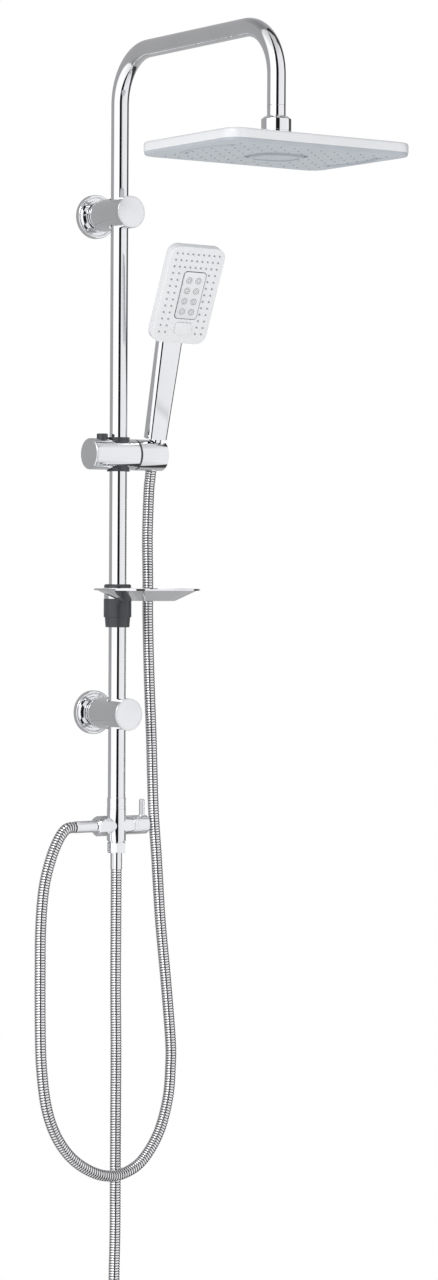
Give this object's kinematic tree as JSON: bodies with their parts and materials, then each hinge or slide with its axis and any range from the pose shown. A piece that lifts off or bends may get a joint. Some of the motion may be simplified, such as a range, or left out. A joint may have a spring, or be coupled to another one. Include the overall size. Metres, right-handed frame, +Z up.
{
  "type": "rainfall shower column",
  "caption": "Wall-mounted rain shower column: riser with bent arm, rectangular rain head, sliding handset holder, soap dish, diverter and flexible hoses.",
  "frame": {"origin": "centre of the lower wall plate's back face, on the wall", "axes": "+Z up along the riser, +Y into the wall, +X to the right when facing the wall"},
  "size_m": [0.262, 0.489, 1.604],
  "materials": {
    "chrome": "polished chrome plate on brass",
    "satin_chrome": "satin chrome face",
    "chromed_plastic": "chrome-plated ABS",
    "white_plastic": "gloss white",
    "face_plastic": "gloss pale blue-grey",
    "dark_plastic": "satin dark grey",
    "silicone": "soft grey silicone",
    "jet_grey": "grey",
    "seal_rubber": "black",
    "hose_steel": "interlocked stainless strip",
    "plated_steel": "zinc plated",
    "brass": "turned brass"
  },
  "bodies": {
    "column": {"lower_wall_plate": "plated_steel", "lower_rosette": "chrome", "lower_barrel": "chrome", "lower_cap": "satin_chrome", "lower_bush": "white_plastic", "upper_wall_plate": "plated_steel", "upper_rosette": "chrome", "upper_barrel": "chrome", "upper_cap": "satin_chrome", "upper_bush": "white_plastic", "grub_screws": "plated_steel", "riser_tube": "chrome", "gooseneck_tube": "chrome", "tube_coupler": "brass", "coupler_orings": "seal_rubber", "arm_collar": "chrome", "swivel_nut": "chrome", "shower_hose": "hose_steel", "outlet_ferrule": "chrome", "outlet_nut": "chrome", "diverter_body": "chrome", "diverter_collar": "chrome", "diverter_cartridge": "brass", "supply_nut": "chrome", "supply_ferrules": "chrome", "supply_hose": "hose_steel", "sealing_washers": "seal_rubber"},
    "head_swivel": {"ball_washer": "seal_rubber"},
    "rain_head": {"ball_stud": "brass", "head_back_shell": "white_plastic", "head_gasket": "seal_rubber", "head_spreader": "white_plastic", "head_nozzle_mat": "silicone", "head_face_plate": "face_plastic"},
    "slider_carriage": {"slider_bush": "dark_plastic"},
    "slider": {"slider_body": "chromed_plastic", "slider_end_cap": "satin_chrome", "friction_ring": "dark_plastic", "lock_shoe": "dark_plastic", "release_spring": "plated_steel"},
    "release": {"release_button": "dark_plastic"},
    "holder": {"holder": "chromed_plastic", "holder_pivot": "plated_steel"},
    "handset": {"handset_handle": "chromed_plastic", "handset_back": "chromed_plastic", "handset_face": "white_plastic", "handset_nozzle_mat": "silicone", "jet_panel": "chromed_plastic", "jet_nozzles": "jet_grey", "selector_plate": "white_plastic", "mode_spring": "plated_steel", "cone_nut": "chrome", "upper_ferrule": "brass"},
    "mode": {"mode_button": "white_plastic"},
    "dish_clamp": {"dish_collet": "dark_plastic", "dish_sleeve": "dark_plastic"},
    "dish": {"soap_dish": "chromed_plastic"},
    "diverter_rotor": {"diverter_knob": "chrome", "diverter_lever": "chrome"},
    "supply_end": {"supply_end_nut": "chrome"}
  },
  "joints": [
    {"name": "head_turn", "type": "hinge", "parent": "column", "child": "head_swivel", "pos_m": [0, -0.391, 0.6945], "axis": [0, 0, 1], "continuous": true},
    {"name": "head_tilt", "type": "hinge", "parent": "head_swivel", "child": "rain_head", "pos_m": [0, -0.391, 0.6945], "axis": [1, 0, 0], "range_deg": [-10, 10]},
    {"name": "slider_slide", "type": "slide", "parent": "column", "child": "slider_carriage", "axis": [0, 0, 1], "range_m": [-0.06, 0.22], "deforming": ["shower_hose"]},
    {"name": "slider_turn", "type": "hinge", "parent": "slider_carriage", "child": "slider", "pos_m": [0, -0.058, 0.3245], "axis": [0, 0, 1], "range_deg": [-30, 30], "deforming": ["shower_hose"]},
    {"name": "release_press", "type": "slide", "parent": "slider", "child": "release", "axis": [0, 0, -1], "range_m": [0, 0.003], "stiffness_N_per_m": 500, "springref_m": -0.002, "deforming": ["release_spring"]},
    {"name": "holder_tilt", "type": "hinge", "parent": "slider", "child": "holder", "pos_m": [0, -0.058, 0.3245], "axis": [1, 0, 0], "range_deg": [-12, 25], "deforming": ["shower_hose"]},
    {"name": "handset_lift", "type": "slide", "parent": "holder", "child": "handset", "axis": [0, -0.2385, 0.9711], "range_m": [0, 0.045], "deforming": ["shower_hose"]},
    {"name": "mode_press", "type": "slide", "parent": "handset", "child": "mode", "axis": [0.1077, 0.9013, 0.4196], "range_m": [0, 0.0015], "stiffness_N_per_m": 500, "springref_m": -0.002, "deforming": ["mode_spring"]},
    {"name": "dish_slide", "type": "slide", "parent": "column", "child": "dish_clamp", "axis": [0, 0, 1], "range_m": [-0.08, 0.06]},
    {"name": "dish_turn", "type": "hinge", "parent": "dish_clamp", "child": "dish", "pos_m": [0, -0.058, 0.15], "axis": [0, 0, 1], "range_deg": [-75, 5]},
    {"name": "diverter_turn", "type": "hinge", "parent": "column", "child": "diverter_rotor", "pos_m": [0.03, -0.058, -0.14], "axis": [1, 0, 0], "range_deg": [0, 90]},
    {"name": "supply_nut_spin", "type": "hinge", "parent": "column", "child": "supply_end", "pos_m": [0, -0.058, -0.76], "axis": [0, 0, 1], "continuous": true}
  ]
}
